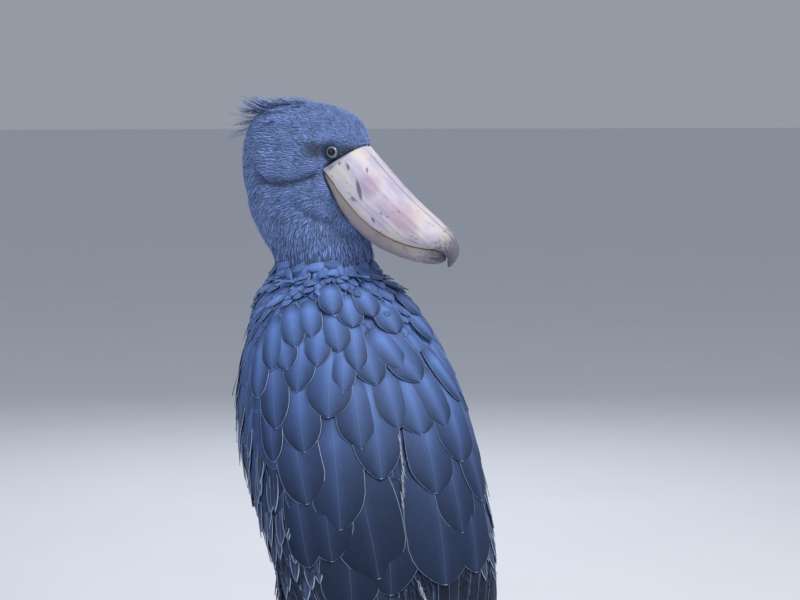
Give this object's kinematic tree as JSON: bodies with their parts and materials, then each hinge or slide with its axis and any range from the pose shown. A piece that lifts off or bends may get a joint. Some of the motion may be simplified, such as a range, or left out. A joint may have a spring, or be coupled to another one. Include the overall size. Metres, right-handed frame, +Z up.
{
  "type": "shoebill",
  "caption": "Life-size standing shoebill, seen best from behind, looking back over its right shoulder with its bill lowered.",
  "frame": {"origin": "on the floor, under the middle of the bird's own box", "axes": "+Z up, the bird's body faces -Y, its left side is +X; its head is turned back over its right shoulder"},
  "size_m": [0.353, 0.4105, 1.1578],
  "materials": {
    "plumage": "slate-blue body and covert feathers, satin",
    "soft_plumage": "short soft blue-grey feathers, matte",
    "flight_plumage": "long dark slate feathers, low sheen",
    "bill": "pale horn with grey and pink blotches, soft gloss",
    "eye": "pale blue-grey iris and black pupil, wet gloss",
    "leg_skin": "dark grey scaled skin",
    "claw": "dark horn"
  },
  "bodies": {
    "root": {"eye_left": "eye", "eye_right": "eye", "head": "soft_plumage", "bill_upper": "bill", "bill_lower": "bill", "crest": "soft_plumage", "neck": "soft_plumage", "trunk": "plumage", "tail": "flight_plumage", "wing_left": "plumage", "flight_feathers_left": "flight_plumage", "wing_right": "plumage", "flight_feathers_right": "flight_plumage", "thigh_left": "soft_plumage", "shank_left": "leg_skin", "toe_left_middle": "leg_skin", "claw_left_middle": "claw", "toe_left_inner": "leg_skin", "claw_left_inner": "claw", "toe_left_outer": "leg_skin", "claw_left_outer": "claw", "toe_left_hind": "leg_skin", "claw_left_hind": "claw", "thigh_right": "soft_plumage", "shank_right": "leg_skin", "toe_right_middle": "leg_skin", "claw_right_middle": "claw", "toe_right_inner": "leg_skin", "claw_right_inner": "claw", "toe_right_outer": "leg_skin", "claw_right_outer": "claw", "toe_right_hind": "leg_skin", "claw_right_hind": "claw"}
  },
  "joints": []
}
